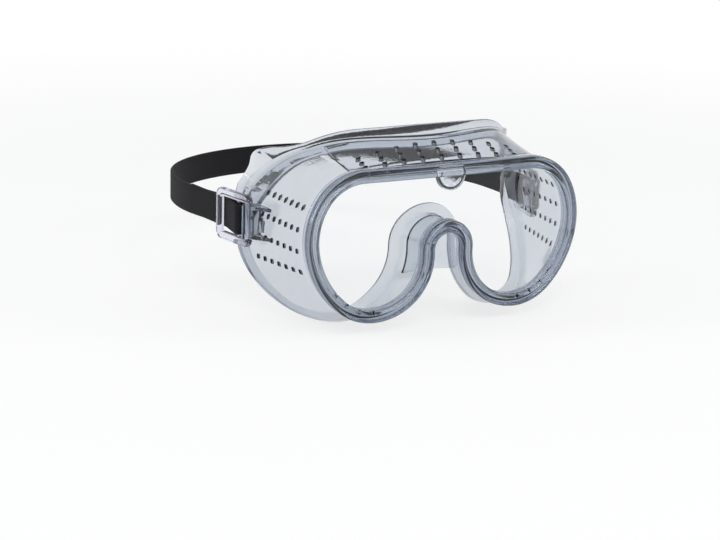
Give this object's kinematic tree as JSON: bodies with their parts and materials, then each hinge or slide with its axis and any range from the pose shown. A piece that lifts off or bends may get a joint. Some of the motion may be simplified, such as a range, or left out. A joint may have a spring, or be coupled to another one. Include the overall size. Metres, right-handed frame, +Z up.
{
  "type": "safety goggles",
  "caption": "Clear vented safety goggles: soft moulded frame with a sheet lens and an elastic head strap held in swinging slides.",
  "frame": {"origin": "on the mid-plane, level with the middle of the lens, where the frame meets the forehead of the head that wears it", "axes": "+Z up, the lens faces -Y, +X is the wearer's left; the head comes in from +Y"},
  "size_m": [0.1842, 0.2225, 0.1004],
  "materials": {
    "frame": "clear soft vinyl, glossy, faintly blue-grey",
    "lens": "clear polycarbonate sheet, polished",
    "slide": "clear hard plastic, glossy",
    "strap": "black woven elastic webbing, matte"
  },
  "bodies": {
    "goggle_frame": {"frame": "frame", "lens": "lens", "strap_side_right": "strap", "strap_side_left": "strap", "strap_temple_right": "strap", "strap_temple_left": "strap"},
    "slide_right": {"strap_slide_right": "slide", "strap_end_right": "strap"},
    "slide_left": {"strap_slide_left": "slide", "strap_end_left": "strap"},
    "strap_rear": {"strap_back": "strap"}
  },
  "joints": [
    {"name": "slide_right_hinge", "type": "hinge", "parent": "goggle_frame", "child": "slide_right", "pos_m": [-0.0856, 0.0305, 0.0045], "axis": [0, 0, 1], "range_deg": [-2, 60], "deforming": ["strap_side_right"]},
    {"name": "slide_left_hinge", "type": "hinge", "parent": "goggle_frame", "child": "slide_left", "pos_m": [0.0856, 0.0305, 0.0045], "axis": [0, 0, -1], "range_deg": [-2, 60], "deforming": ["strap_side_left"]},
    {"name": "strap_stretch", "type": "slide", "parent": "goggle_frame", "child": "strap_rear", "axis": [0, 1, 0], "range_m": [0, 0.04], "stiffness_N_per_m": 120, "deforming": ["strap_temple_right", "strap_temple_left"]}
  ]
}
